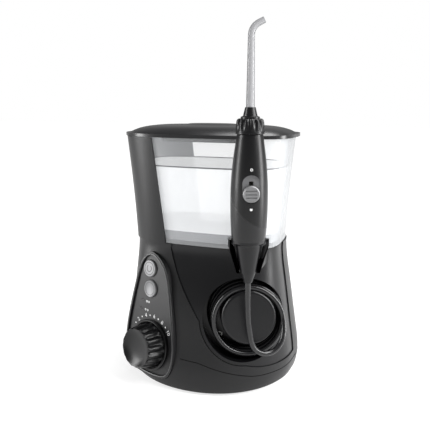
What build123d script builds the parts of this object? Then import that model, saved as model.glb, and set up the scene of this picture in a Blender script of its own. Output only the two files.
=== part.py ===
from build123d import *
import math
import os

# Countertop water flosser, millimetres, +Z up, front towards -Y.
# Origin: in the middle of the tank's plan, on the plane that the rubber ring stands on.

# ---------------------------------------------------------------- driving dimensions
FOOT_HEIGHT = 2.0            # a rubber ring lifts the tray this far off the table
WALL = 2.4                   # moulded wall of the base
DECK_Z = 106.6               # top face of the base, under the tank
TANK_Z = 107.0               # underside of the tank
TANK_TOP = 186.0             # open rim of the tank
TANK_WALL = 2.2
LID_Z = 186.4                # underside of the lid's brim
LID_TOP = 195.0
COVER_SET_BACK = 0.8         # the front cover lies this far behind the shell around it
COVER_GAP = 0.25             # parting gap around the front cover and the control panel

HANDLE_X, HANDLE_Y = 45.4, -52.0
HANDLE_TOP = 190.8
CONE_TOP, CONE_FOOT = 120.6, 90.0

POCKET = (40.3, -40.1, 56.0)  # centre of the hose pocket, on the front surface
POCKET_AZIMUTH, POCKET_TILT = 23.0, 9.0
POCKET_RADIUS, POCKET_DEPTH = 31.0, 20.0
HUB_CENTRE, HUB_RADIUS = (3.0, 1.4), 20.4       # places in the pocket's own plane
COIL_CENTRE, COIL_INNER, COIL_OUTER = (3.1, -1.0), 23.0, 27.6
HOSE_DIAMETER = 4.0

PANEL_AZIMUTH, PANEL_TILT = -21.0, 9.5
DIAL = (-33.5, -47.5, 28.0)   # centre of the dial, on the panel's face

MOTOR_BACK, MOTOR_FRONT, DRIVE_Y, MOTOR_Z, MOTOR_RADIUS = -43.0, 1.0, 12.0, 38.0, 17.0
FRAME_THICK, GEAR_X, GEAR_THICK = 1.8, 3.4, 5.0
GEAR_Z, GEAR_RADIUS, PINION_RADIUS = 62.0, 19.6, 4.2
CRANK_THROW, CRANK_PIN = 3.5, 2.0
CRANK_Z = GEAR_Z - CRANK_THROW      # the crank pin and the rod at the foot of their stroke
PUMP_X, PUMP_BORE, PISTON_FOOT, PISTON_HEAD = 14.9, 6.0, 22.0, 36.0
FLOOR_Z = 4.6                # top of the tray's floor
POSTS = ((-49, 14), (49, 16), (-42, -13), (0, -26))   # screw posts
TANK_VALVE = (30.0, 8.0)
GLAND = (40.0, 14.0)         # x and height of the mains lead's gland, in the back wall
HINGE_Y, HINGE_Z = 41.0, 186.0

# Outline of the base at each height:
# z, half width, y of the widest line, front reach, front power, back reach, back power
BASE_LEVELS = (
    (FOOT_HEIGHT, 67.6, 5.0, 64.0, 2.05, 32.0, 3.6),
    (12.0, 69.4, 5.0, 64.5, 2.1, 32.5, 3.6),
    (30.0, 68.0, 4.0, 59.5, 2.25, 33.5, 3.6),
    (52.0, 64.7, 3.0, 53.5, 2.45, 34.5, 3.6),
    (80.0, 60.6, 1.0, 43.5, 2.8, 36.5, 3.6),
    (DECK_Z, 58.0, 0.0, 35.5, 3.2, 37.5, 3.6),
)
# The same for the tank, and for the lid's dome.
TANK_LEVELS = (
    (TANK_Z, 57.2, 0.0, 35.0, 3.2, 37.5, 3.6),
    (130.0, 58.3, 0.0, 35.7, 3.2, 37.5, 3.6),
    (158.0, 60.4, 0.0, 36.9, 3.2, 37.5, 3.6),
    (TANK_TOP, 63.0, 0.0, 38.3, 3.2, 37.5, 3.6),
)
DOME_LEVELS = (
    (188.6, 63.5, 0.0, 37.8, 3.0, 35.6, 3.4),
    (191.6, 57.0, 0.0, 33.0, 2.8, 31.0, 3.2),
    (193.8, 42.0, 0.0, 24.0, 2.5, 22.5, 2.8),
    (LID_TOP, 18.0, 0.0, 10.0, 2.2, 9.5, 2.4),
)
# Line between the tray and the shell above it, as (x, z) from left to right.
TRAY_SEAM = ((-90, 26), (-12, 26), (10, 24.5), (24, 20.4), (49, 14), (66, 12.5), (90, 12.5))
# Edge of the front cover, as (x, z): down from the waist and round under the pocket.
COVER_EDGE = ((-22, 110), (-13, 85), (0, 65), (11.5, 49), (23, 36), (35, 26.5), (48, 21.4), (60, 19),
              (72, 18.6), (90, 18.6))

POINTS_PER_OUTLINE = 28


def outline(level, inset=0.0):
    """Points round one level's outline: two half superellipses that share their widest line."""
    z, half, y_wide, front, front_power, back, back_power = level
    points = []
    for i in range(POINTS_PER_OUTLINE):
        angle = 2 * math.pi * i / POINTS_PER_OUTLINE
        c, s = math.cos(angle), math.sin(angle)
        power = back_power if s > 0 else front_power
        reach = (back if s > 0 else front) - inset
        x = (half - inset) * math.copysign(abs(c) ** (2 / power), c)
        y = y_wide + reach * math.copysign(abs(s) ** (2 / power), s)
        points.append((x, y))
    return points


def tilted_plane(origin, azimuth, tilt):
    """A plane facing the front, turned by the azimuth towards +X and tipped up by the tilt."""
    a, t = math.radians(azimuth), math.radians(tilt)
    normal = (math.sin(a) * math.cos(t), -math.cos(a) * math.cos(t), math.sin(t))
    return Plane(origin=origin, x_dir=(math.cos(a), math.sin(a), 0), z_dir=normal)


def shifted(level, dz):
    return (level[0] + dz,) + tuple(level[1:])


def beside(points, gap, closed=False):
    """The same run of points, moved sideways: a positive gap moves it to its right-hand side."""
    moved = []
    last = len(points) - 1
    for i, (x, y) in enumerate(points):
        before = points[i - 1] if closed or i > 0 else points[0]
        after = points[(i + 1) % len(points)] if closed or i < last else points[last]
        dx, dy = after[0] - before[0], after[1] - before[1]
        length = math.hypot(dx, dy)
        moved.append((x + gap * dy / length, y - gap * dx / length))
    return moved


pocket_plane = tilted_plane(POCKET, POCKET_AZIMUTH, POCKET_TILT)
panel_plane = tilted_plane(DIAL, PANEL_AZIMUTH, PANEL_TILT)
handle_section = tilted_plane((HANDLE_X, HANDLE_Y, 0), 0, 0)     # local x is outwards, local y is height
handle_axis = Axis((HANDLE_X, HANDLE_Y, 0), (0, 0, 1))
parts = []


def keep(builder, name):
    builder.part.label = name
    parts.append(builder.part)


# ---------------------------------------------------------------- shaping solids
with BuildPart() as base_outer:
    for level in BASE_LEVELS:
        with BuildSketch(Plane.XY.offset(level[0])):
            with BuildLine():
                Spline(*outline(level), periodic=True)
            make_face()
    loft()

with BuildPart() as base_set_back:
    for level in BASE_LEVELS:
        with BuildSketch(Plane.XY.offset(level[0])):
            with BuildLine():
                Spline(*outline(level, COVER_SET_BACK), periodic=True)
            make_face()
    loft()

with BuildPart() as base_inner:
    for level in BASE_LEVELS:
        with BuildSketch(Plane.XY.offset(level[0])):
            with BuildLine():
                Spline(*outline(level, WALL + COVER_SET_BACK), periodic=True)
            make_face()
    loft()

with BuildPart() as below_seam:
    with BuildSketch(Plane.XZ.offset(-100)):
        with BuildLine():
            Spline(*TRAY_SEAM)
            Polyline(TRAY_SEAM[-1], (90, -10), (-90, -10), TRAY_SEAM[0])
        make_face()
    extrude(amount=200)

with BuildPart() as cover_zone:
    with BuildSketch(Plane.XZ):
        with BuildLine():
            Spline(*COVER_EDGE)
            Polyline(COVER_EDGE[-1], (90, 110), COVER_EDGE[0])
        make_face()
    extrude(amount=100)


with BuildPart() as cavity:
    add(base_inner.part)
    split(bisect_by=Plane.XY.offset(FLOOR_Z), keep=Keep.TOP)
    split(bisect_by=Plane.XY.offset(DECK_Z - WALL), keep=Keep.BOTTOM)

with BuildPart() as cover_opening:
    add(cover_zone.part)
    split(bisect_by=Plane.XY.offset(DECK_Z - WALL), keep=Keep.BOTTOM)

with BuildPart() as cover_fit:
    inner_edge = beside(COVER_EDGE, -COVER_GAP)
    with BuildSketch(Plane.XZ.offset(COVER_GAP)):
        with BuildLine():
            Spline(*inner_edge)
            Polyline(inner_edge[-1], (90, 110), inner_edge[0])
        make_face()
    extrude(amount=100)

# The control panel is a tall arch: these are its edge points on the panel's own plane.
PANEL_EDGE = ((-6, 71.5), (3, 67.5), (10, 60), (16, 45.5), (21.5, 26), (25.5, 7), (26, -8), (21, -19.5),
              (12, -22.5), (-12, -22.5), (-22, -19), (-27, -6), (-27.5, 8), (-26, 24), (-22.5, 45),
              (-19.5, 58), (-14, 68))
PANEL_RIM, PANEL_THICK, PANEL_DEEP = 2.2, 2.6, 8.5

with BuildPart() as panel_opening:
    with BuildSketch(panel_plane.offset(-14)):
        with BuildLine():
            Spline(*beside(PANEL_EDGE, -COVER_GAP, closed=True), periodic=True)
        make_face()
    extrude(amount=26)

with BuildPart() as pocket_cup:
    with BuildSketch(pocket_plane.offset(-POCKET_DEPTH - WALL)):
        Circle(POCKET_RADIUS + WALL)
    extrude(amount=60)

with BuildPart() as pocket_room:
    with BuildSketch(pocket_plane.offset(-POCKET_DEPTH - WALL - COVER_GAP)):
        Circle(POCKET_RADIUS + WALL + COVER_GAP)
    extrude(amount=60)

# ---------------------------------------------------------------- base shells
BOSS_FOOT, BOSS_TOP, POST_FOOT = FLOOR_Z - 0.6, 11.8, 12.0

with BuildPart() as base_tray:
    add(base_outer.part)
    add(below_seam.part, mode=Mode.INTERSECT)
    add(cavity.part, mode=Mode.SUBTRACT)
    add(panel_opening.part, mode=Mode.SUBTRACT)
    with BuildSketch(Plane.XY.offset(BOSS_FOOT)):
        with Locations(*POSTS):
            Circle(4.6)
    extrude(amount=BOSS_TOP - BOSS_FOOT)
    with BuildSketch(Plane.XY):
        with Locations(*POSTS):
            Circle(3.3)
    extrude(amount=7.0, mode=Mode.SUBTRACT)
    with BuildSketch(Plane.XY):
        with Locations(*POSTS):
            Circle(1.75)
    extrude(amount=20, mode=Mode.SUBTRACT)
    with BuildSketch(Plane.XZ.offset(-60)):
        with Locations(GLAND):
            Circle(4.6)
    extrude(amount=40, mode=Mode.SUBTRACT)
keep(base_tray, "base_tray")

FOOT_INSET, FOOT_WIDTH = 8.0, 6.0
with BuildPart() as rubber_foot:
    with BuildSketch():
        with BuildLine():
            Spline(*outline(BASE_LEVELS[0], FOOT_INSET), periodic=True)
        make_face()
        with BuildLine():
            Spline(*outline(BASE_LEVELS[0], FOOT_INSET + FOOT_WIDTH), periodic=True)
        make_face(mode=Mode.SUBTRACT)
    extrude(amount=FOOT_HEIGHT)
keep(rubber_foot, "rubber_foot")

with BuildPart() as base_screws:
    with BuildSketch(Plane.XY.offset(4.8)):
        with Locations(*POSTS):
            Circle(3.0)
            RegularPolygon(1.4, 6, mode=Mode.SUBTRACT)
    extrude(amount=1.2)
    with BuildSketch(Plane.XY.offset(6.0)):
        with Locations(*POSTS):
            Circle(3.0)
    extrude(amount=1.0)
    with BuildSketch(Plane.XY.offset(7.0)):
        with Locations(*POSTS):
            Circle(1.45)
    extrude(amount=14)
keep(base_screws, "base_screws")

with BuildPart() as housing:
    add(base_outer.part)
    add(below_seam.part, mode=Mode.SUBTRACT)
    add(cavity.part, mode=Mode.SUBTRACT)
    add(cover_opening.part, mode=Mode.SUBTRACT)
    with BuildSketch(Plane.XY.offset(DECK_Z - WALL)):
        with Locations((35, -50)):
            Rectangle(110, 100)
        with BuildLine():
            Spline(*outline(BASE_LEVELS[-1], WALL + COVER_SET_BACK + COVER_GAP), periodic=True)
        make_face(mode=Mode.SUBTRACT)
    extrude(amount=10, mode=Mode.SUBTRACT)
    add(panel_opening.part, mode=Mode.SUBTRACT)
    add(pocket_room.part, mode=Mode.SUBTRACT)
    with BuildSketch(Plane.XY.offset(POST_FOOT)):
        with Locations(*POSTS):
            Circle(3.5)
    extrude(amount=DECK_Z - WALL - POST_FOOT + 0.6)
    with BuildSketch(Plane.XY.offset(POST_FOOT)):
        with Locations(*POSTS):
            Circle(1.5)
    extrude(amount=12, mode=Mode.SUBTRACT)
    with BuildSketch(Plane.XY.offset(DECK_Z - 10)):
        with Locations(TANK_VALVE):
            Circle(7.5)
    extrude(amount=20, mode=Mode.SUBTRACT)
    with BuildSketch(Plane.XZ.offset(-60)):
        with Locations(GLAND):
            Circle(4.6)
    extrude(amount=40, mode=Mode.SUBTRACT)
keep(housing, "housing")

with BuildPart() as inner_room:
    add(base_inner.part)
    add(pocket_cup.part, mode=Mode.SUBTRACT)

with BuildPart() as front_cover:
    add(cover_fit.part)
    add(pocket_cup.part)
    add(base_set_back.part, mode=Mode.INTERSECT)
    add(inner_room.part, mode=Mode.SUBTRACT)
    with BuildSketch(pocket_plane.offset(-POCKET_DEPTH)):
        Circle(POCKET_RADIUS)
    extrude(amount=60, mode=Mode.SUBTRACT)


def on_plane(plane, x, y, depth=0.0):
    """The point (x, y, depth) of a tilted plane, in the part's own frame."""
    return plane.from_local_coords((x, y, depth))


# ---------------------------------------------------------------- hose pocket
HUB_FACE = -1.0
with BuildPart() as hose_hub:
    with BuildSketch(pocket_plane.offset(-POCKET_DEPTH)):
        with Locations(HUB_CENTRE):
            Circle(HUB_RADIUS)
    extrude(amount=POCKET_DEPTH + HUB_FACE)
    fillet(hose_hub.edges().sort_by(Axis(pocket_plane.origin, pocket_plane.z_dir))[-1], 2.4)
    with BuildSketch(pocket_plane.offset(-POCKET_DEPTH)):
        with Locations(HUB_CENTRE):
            Circle(HUB_RADIUS - WALL)
    extrude(amount=POCKET_DEPTH + HUB_FACE - WALL, mode=Mode.SUBTRACT)
keep(hose_hub, "hose_hub")

COIL_BACK, COIL_FRONT = -POCKET_DEPTH, -1.6
with BuildPart() as hose_coil:
    with BuildSketch(pocket_plane.offset(COIL_BACK)):
        with Locations(COIL_CENTRE):
            Circle(COIL_OUTER)
            Circle(COIL_INNER, mode=Mode.SUBTRACT)
    extrude(amount=COIL_FRONT - COIL_BACK)
keep(hose_coil, "hose_coil")

COIL_MIDDLE = (COIL_INNER + COIL_OUTER) / 2
FITTING_ANGLE = math.radians(215)
FITTING_PLACE = (COIL_CENTRE[0] + COIL_MIDDLE * math.cos(FITTING_ANGLE),
                 COIL_CENTRE[1] + COIL_MIDDLE * math.sin(FITTING_ANGLE))
with BuildPart() as hose_fitting:
    with BuildSketch(pocket_plane.offset(-POCKET_DEPTH - WALL - 2.5)):
        with Locations(FITTING_PLACE):
            Circle(4.6)
            Circle(1.2, mode=Mode.SUBTRACT)
    extrude(amount=2.3)
    with BuildSketch(pocket_plane.offset(-POCKET_DEPTH - WALL - 7.0)):
        with Locations(FITTING_PLACE):
            Circle(2.3)
            Circle(1.2, mode=Mode.SUBTRACT)
    extrude(amount=WALL + 7.0)
keep(hose_fitting, "hose_fitting")

# The free end of the hose: from the foot of the handle down in front of the hub, round the pocket's
# lower right side and into the front of the coil. The last points lie on the pocket's own plane.
HOSE_ROUTE = ((HANDLE_X, HANDLE_Y, CONE_FOOT), (HANDLE_X, HANDLE_Y, 77.5), (46.0, -52.3, 62.0)) + tuple(
    tuple(on_plane(pocket_plane, *place)) for place in (
        (1.1, -8.5, 12.3), (1.3, -19.0, 11.2), (6.4, -26.0, 9.4), (14.6, -28.7, 7.2), (22.9, -26.0, 5.0),
        (28.1, -18.9, 2.9), (29.0, -9.5, 0.6), (28.6, -1.0, -2.6)))


def route_radii(route):
    """An arc at every corner of a route, as large as the shorter of its two runs allows."""
    radii = []
    for before, corner, after in zip(route, route[1:], route[2:]):
        run_in, run_out = Vector(corner) - Vector(before), Vector(after) - Vector(corner)
        turn = math.radians(run_in.get_angle(run_out))
        radii.append(0.45 * min(run_in.length, run_out.length) / math.tan(turn / 2))
    return radii


def tube_along(route, radius, hollow=0.0):
    """A round tube on straight runs joined by tangent arcs."""
    with BuildPart() as tube:
        with BuildLine() as path:
            FilletPolyline(*route, radius=route_radii(route))
        with BuildSketch(Plane(origin=path.wire() @ 0, z_dir=path.wire() % 0)):
            Circle(radius)
            if hollow:
                Circle(hollow, mode=Mode.SUBTRACT)
        sweep()
    return tube, path.wire().length


hose_run, hose_length = tube_along(HOSE_ROUTE, HOSE_DIAMETER / 2)
print("hose run", round(hose_length, 1), "mm, radii", [round(r, 1) for r in route_radii(HOSE_ROUTE)])
print("hose run volume", round(hose_run.part.volume), "section x length",
      round(math.pi * HOSE_DIAMETER ** 2 / 4 * hose_length))
keep(hose_run, "hose_run")

with BuildPart() as front_cover_bored:
    add(front_cover.part)
    with BuildSketch(pocket_plane.offset(-POCKET_DEPTH - WALL - 5)):
        with Locations(FITTING_PLACE):
            Circle(2.4)
    extrude(amount=10, mode=Mode.SUBTRACT)
keep(front_cover_bored, "front_cover")

# ---------------------------------------------------------------- handle cradle
# Two arms hold the handle's cone; a neck behind them carries them on the front cover.
CRADLE_FOOT, CRADLE_TOP, CRADLE_BACK_TOP, ARM_REACH = 97.0, 121.0, 106.0, 6.5
with BuildPart() as handle_cradle:
    with BuildSketch(handle_section):
        with BuildLine():
            Polyline((6.0, CRADLE_FOOT), (9.7, 116), (11.8, 118), (11.8, CRADLE_TOP), (13.9, CRADLE_TOP),
                     (13.9, 116.5), (8.2, CRADLE_FOOT), close=True)
        make_face()
    revolve(axis=handle_axis)
    with BuildSketch(Plane.XY.offset(CRADLE_FOOT - 1)):
        with Locations((HANDLE_X, HANDLE_Y - ARM_REACH - 20)):
            Rectangle(60, 40)
    extrude(amount=40, mode=Mode.SUBTRACT)
    with BuildSketch(Plane.XY.offset(CRADLE_BACK_TOP)):
        with Locations((HANDLE_X, HANDLE_Y + ARM_REACH + 20)):
            Rectangle(60, 40)
    extrude(amount=40, mode=Mode.SUBTRACT)
    with BuildSketch(Plane.XY.offset(CRADLE_FOOT)):
        with Locations((HANDLE_X, HANDLE_Y + 18)):
            Rectangle(13, 20)
    extrude(amount=CRADLE_BACK_TOP - CRADLE_FOOT)
    add(base_set_back.part, mode=Mode.SUBTRACT)
keep(handle_cradle, "handle_cradle")

# ---------------------------------------------------------------- control panel
POWER_PLACE, MODE_PLACE, BUTTON_RADIUS = (-7.8, 58.4), (-5.2, 43.0), 6.6
LAMP_PLACES = ((-13.6, 32.0), (-14.2, 25.4))
DIAL_RING_OUTER, DIAL_RING_INNER = 19.6, 17.6
DIAL_FOOT_RADIUS, DIAL_FACE_RADIUS, DIAL_BASE, DIAL_FACE = 17.2, 15.0, 0.6, 15.4
SHAFT_RADIUS = 3.0

with BuildPart() as control_panel:
    with BuildSketch(panel_plane.offset(-PANEL_DEEP)):
        with BuildLine():
            Spline(*PANEL_EDGE, periodic=True)
        make_face()
        with BuildLine():
            Spline(*beside(PANEL_EDGE, PANEL_RIM, closed=True), periodic=True)
        make_face(mode=Mode.SUBTRACT)
    extrude(amount=PANEL_DEEP + 1.2)
    with BuildSketch(panel_plane.offset(-PANEL_THICK)):
        with BuildLine():
            Spline(*beside(PANEL_EDGE, PANEL_RIM - 0.5, closed=True), periodic=True)
        make_face()
    extrude(amount=PANEL_THICK)
    with BuildSketch(panel_plane.offset(-PANEL_THICK - 1)):
        with Locations(POWER_PLACE, MODE_PLACE):
            Circle(BUTTON_RADIUS + 0.3)
        with Locations(*LAMP_PLACES):
            SlotOverall(4.2, 1.8)
        Circle(SHAFT_RADIUS + 0.5)
    extrude(amount=8, mode=Mode.SUBTRACT)
keep(control_panel, "control_panel")


def push_button(place, dish):
    """A round cap with a stem behind it; the mode button's face is dished."""
    with BuildPart() as button:
        with BuildSketch(panel_plane.offset(-1.6)):
            with Locations(place):
                Circle(BUTTON_RADIUS)
        extrude(amount=3.4)
        chamfer(button.edges().sort_by(Axis(panel_plane.origin, panel_plane.z_dir))[-1], 0.6)
        if dish:
            with Locations(Plane(origin=on_plane(panel_plane, *place, 1.8 + 28.6), z_dir=panel_plane.z_dir)):
                Sphere(29.3, mode=Mode.SUBTRACT)
        with BuildSketch(panel_plane.offset(-7.4)):
            with Locations(place):
                Circle(1.6)
        extrude(amount=6.2)
    return button


power_button = push_button(POWER_PLACE, False)
keep(power_button, "power_button")
mode_button = push_button(MODE_PLACE, True)
keep(mode_button, "mode_button")

with BuildPart() as indicator_lenses:
    with BuildSketch(panel_plane.offset(-PANEL_THICK - 1)):
        with Locations(*LAMP_PLACES):
            SlotOverall(4.0, 1.6)
    extrude(amount=PANEL_THICK + 1.1)
keep(indicator_lenses, "indicator_lenses")

BOARD_DEPTH = -13.6
with BuildPart() as circuit_board:
    with BuildSketch(panel_plane.offset(BOARD_DEPTH)):
        with Locations((-7, 43)):
            RectangleRounded(22, 46, 2)
    extrude(amount=1.6)
    with BuildSketch(panel_plane.offset(BOARD_DEPTH - 1.8)):
        with Locations((-8, 34)):
            Rectangle(9, 9)
        with Locations((-6, 52)):
            Rectangle(5, 4)
    extrude(amount=1.9)
    with BuildSketch(panel_plane.offset(BOARD_DEPTH + 1.5)):
        with Locations(*LAMP_PLACES):
            Rectangle(3.4, 1.6)
    extrude(amount=6.0)
keep(circuit_board, "circuit_board")

with BuildPart() as panel_switches:
    with BuildSketch(panel_plane.offset(BOARD_DEPTH + 1.6)):
        with Locations(POWER_PLACE, MODE_PLACE):
            Rectangle(6, 6)
    extrude(amount=2.6)
keep(panel_switches, "panel_switches")

with BuildPart() as dial_ring:
    with BuildSketch(panel_plane):
        Circle(DIAL_RING_OUTER)
        Circle(DIAL_RING_INNER, mode=Mode.SUBTRACT)
    extrude(amount=2.6)
    chamfer(dial_ring.edges().group_by(Axis(panel_plane.origin, panel_plane.z_dir))[-1], 0.5)
keep(dial_ring, "dial_ring")

FLUTES = 18
with BuildPart() as pressure_dial:
    with BuildSketch(panel_plane.offset(DIAL_BASE)):
        Circle(DIAL_FOOT_RADIUS)
    with BuildSketch(panel_plane.offset(DIAL_FACE)):
        Circle(DIAL_FACE_RADIUS)
    loft()
    fillet(pressure_dial.edges().sort_by(Axis(panel_plane.origin, panel_plane.z_dir))[-1], 1.6)
    with BuildSketch(panel_plane.offset(DIAL_BASE - 1)):
        with PolarLocations(DIAL_FOOT_RADIUS + 0.9, FLUTES):
            Circle(1.7)
    extrude(amount=DIAL_FACE - DIAL_BASE - 3.2, mode=Mode.SUBTRACT)
    with Locations(Plane(origin=on_plane(panel_plane, 0, 0, DIAL_FACE + 94.4), z_dir=panel_plane.z_dir)):
        Sphere(95.4, mode=Mode.SUBTRACT)
    with BuildSketch(panel_plane.offset(DIAL_BASE - 1)):
        Circle(SHAFT_RADIUS)
    extrude(amount=9, mode=Mode.SUBTRACT)
keep(pressure_dial, "pressure_dial")

REGULATOR_FRONT, REGULATOR_BACK = -10.0, -30.0
with BuildPart() as dial_shaft:
    with BuildSketch(panel_plane.offset(REGULATOR_FRONT - 6)):
        Circle(SHAFT_RADIUS)
    extrude(amount=DIAL_BASE + 8 - REGULATOR_FRONT + 6)
keep(dial_shaft, "dial_shaft")

with BuildPart() as regulator_body:
    with BuildSketch(panel_plane.offset(REGULATOR_BACK)):
        Circle(8.5)
    extrude(amount=REGULATOR_FRONT - REGULATOR_BACK)
    with BuildSketch(panel_plane.offset(REGULATOR_FRONT - 8)):
        Circle(SHAFT_RADIUS + 0.06)
    extrude(amount=12, mode=Mode.SUBTRACT)
    with BuildSketch(panel_plane.offset(REGULATOR_BACK - 4)):
        with Locations((-4, 0), (4, 0)):
            Circle(2.2)
    extrude(amount=4.5)
keep(regulator_body, "regulator_body")

# ---------------------------------------------------------------- drive and pump
with BuildPart() as motor:
    with BuildSketch(Plane.YZ.offset(MOTOR_BACK)):
        with Locations((DRIVE_Y, MOTOR_Z)):
            Circle(MOTOR_RADIUS)
    extrude(amount=MOTOR_FRONT - MOTOR_BACK)
    fillet(motor.edges().filter_by(GeomType.CIRCLE), 1.5)
    with BuildSketch(Plane.YZ.offset(MOTOR_FRONT - 0.5)):
        with Locations((DRIVE_Y, MOTOR_Z)):
            Circle(5)
    extrude(amount=0.5 + FRAME_THICK)
    with BuildSketch(Plane.YZ.offset(MOTOR_FRONT - 8)):
        with Locations((DRIVE_Y, MOTOR_Z)):
            Circle(1.55)
    extrude(amount=12, mode=Mode.SUBTRACT)
keep(motor, "motor")

with BuildPart() as motor_mount:
    with BuildSketch(Plane.XY.offset(FLOOR_Z)):
        with Locations(((MOTOR_BACK + MOTOR_FRONT) / 2, DRIVE_Y)):
            RectangleRounded(36, 26, 3)
    extrude(amount=3)
    with BuildSketch(Plane.XY.offset(FLOOR_Z + 2.5)):
        with Locations((MOTOR_BACK + 9, DRIVE_Y), (MOTOR_FRONT - 9, DRIVE_Y)):
            Rectangle(4, 26)
    extrude(amount=24)
    with BuildSketch(Plane.YZ.offset(MOTOR_BACK - 5)):
        with Locations((DRIVE_Y, MOTOR_Z)):
            Circle(MOTOR_RADIUS + 0.05)
    extrude(amount=60, mode=Mode.SUBTRACT)
keep(motor_mount, "motor_mount")

with BuildPart() as drive_frame:
    with BuildSketch(Plane.YZ.offset(MOTOR_FRONT)):
        with Locations((DRIVE_Y, (FLOOR_Z + 72) / 2)):
            RectangleRounded(30, 72 - FLOOR_Z, 4)
        with Locations((DRIVE_Y, MOTOR_Z)):
            Circle(5.05, mode=Mode.SUBTRACT)
        with Locations((DRIVE_Y, GEAR_Z)):
            Circle(2.5, mode=Mode.SUBTRACT)
    extrude(amount=FRAME_THICK)
    with BuildSketch(Plane.XY.offset(FLOOR_Z)):
        with Locations((MOTOR_FRONT + FRAME_THICK / 2 + 2, DRIVE_Y + 13)):
            Rectangle(FRAME_THICK + 4, 6)
    extrude(amount=2)
keep(drive_frame, "drive_frame")

with BuildPart() as gear_axle:
    with BuildSketch(Plane.YZ.offset(MOTOR_FRONT - 2)):
        with Locations((DRIVE_Y, GEAR_Z)):
            Circle(3.6)
    extrude(amount=2)
    with BuildSketch(Plane.YZ.offset(MOTOR_FRONT)):
        with Locations((DRIVE_Y, GEAR_Z)):
            Circle(2.5)
    extrude(amount=GEAR_X + GEAR_THICK - MOTOR_FRONT - 1)
keep(gear_axle, "gear_axle")


def toothed_wheel(radius, teeth, notch):
    """One gear's outline with its tooth gaps, about the origin of the sketch."""
    with BuildSketch(mode=Mode.PRIVATE) as wheel:
        Circle(radius)
        with PolarLocations(radius, teeth):
            Rectangle(2 * notch, notch, mode=Mode.SUBTRACT)
    return wheel.sketch


with BuildPart() as drive_gear:
    with BuildSketch(Plane.YZ.offset(GEAR_X)):
        with Locations((DRIVE_Y, GEAR_Z)):
            add(toothed_wheel(GEAR_RADIUS, 42, 1.3))
            Circle(2.56, mode=Mode.SUBTRACT)
    extrude(amount=GEAR_THICK)
    with BuildSketch(Plane.YZ.offset(GEAR_X + GEAR_THICK - 0.5)):
        with Locations((DRIVE_Y, CRANK_Z)):
            Circle(CRANK_PIN - 0.5)
    extrude(amount=4.5)
keep(drive_gear, "drive_gear")

with BuildPart() as drive_pinion:
    with BuildSketch(Plane.YZ.offset(GEAR_X)):
        with Locations((DRIVE_Y, MOTOR_Z)):
            add(toothed_wheel(PINION_RADIUS, 9, 1.3))
    extrude(amount=GEAR_THICK)
    with BuildSketch(Plane.YZ.offset(MOTOR_FRONT - 7)):
        with Locations((DRIVE_Y, MOTOR_Z)):
            Circle(1.5)
    extrude(amount=GEAR_X - MOTOR_FRONT + 7.5)
keep(drive_pinion, "drive_pinion")

PUMP_TOP, ROD_PIN_Z = 33.0, PISTON_HEAD - 4
with BuildPart() as pump_body:
    with BuildSketch(Plane.XY.offset(FLOOR_Z)):
        with Locations((PUMP_X + 0.6, DRIVE_Y)):
            RectangleRounded(20, 20, 3)
    extrude(amount=PUMP_TOP - FLOOR_Z)
    with BuildSketch(Plane.XY.offset(14)):
        with Locations((PUMP_X, DRIVE_Y)):
            Circle(PUMP_BORE + 0.05)
    extrude(amount=30, mode=Mode.SUBTRACT)
    # inlet on the right, outlet on the front
    with BuildSketch(Plane.YZ.offset(PUMP_X + 9)):
        with Locations((DRIVE_Y, 12)):
            Circle(2.4)
    extrude(amount=7)
    with BuildSketch(Plane.XZ.offset(-DRIVE_Y + 9)):
        with Locations((PUMP_X, 12)):
            Circle(2.4)
    extrude(amount=7)
    with BuildSketch(Plane.YZ.offset(PUMP_X)):
        with Locations((DRIVE_Y, 12)):
            Circle(1.4)
    extrude(amount=20, mode=Mode.SUBTRACT)
    with BuildSketch(Plane.XZ.offset(-DRIVE_Y)):
        with Locations((PUMP_X, 12)):
            Circle(1.4)
    extrude(amount=20, mode=Mode.SUBTRACT)
    with BuildSketch(Plane.XY.offset(12)):
        with Locations((PUMP_X, DRIVE_Y)):
            Circle(1.4)
    extrude(amount=4, mode=Mode.SUBTRACT)
keep(pump_body, "pump_body")

with BuildPart() as pump_piston:
    with BuildSketch(Plane.XY.offset(PISTON_FOOT)):
        with Locations((PUMP_X, DRIVE_Y)):
            Circle(PUMP_BORE)
    extrude(amount=PISTON_HEAD - PISTON_FOOT)
    with BuildSketch(Plane.XY.offset(PISTON_FOOT + 5)):
        with Locations((PUMP_X, DRIVE_Y)):
            Rectangle(4.4, 12)
    extrude(amount=PISTON_HEAD, mode=Mode.SUBTRACT)
    with BuildSketch(Plane.YZ.offset(PUMP_X - 5)):
        with Locations((DRIVE_Y, ROD_PIN_Z)):
            Circle(1.5)
    extrude(amount=10, mode=Mode.SUBTRACT)
keep(pump_piston, "pump_piston")

with BuildPart() as pump_valves:
    with BuildSketch(Plane.YZ.offset(PUMP_X + 10)):
        with Locations((DRIVE_Y, 12)):
            Circle(1.4)
    extrude(amount=1.2)
    with BuildSketch(Plane.XZ.offset(-DRIVE_Y + 10)):
        with Locations((PUMP_X, 12)):
            Circle(1.4)
    extrude(amount=1.2)
keep(pump_valves, "pump_valves")

with BuildPart() as piston_pin:
    with BuildSketch(Plane.YZ.offset(PUMP_X - 5)):
        with Locations((DRIVE_Y, ROD_PIN_Z)):
            Circle(1.5)
    extrude(amount=10)
keep(piston_pin, "piston_pin")

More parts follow.
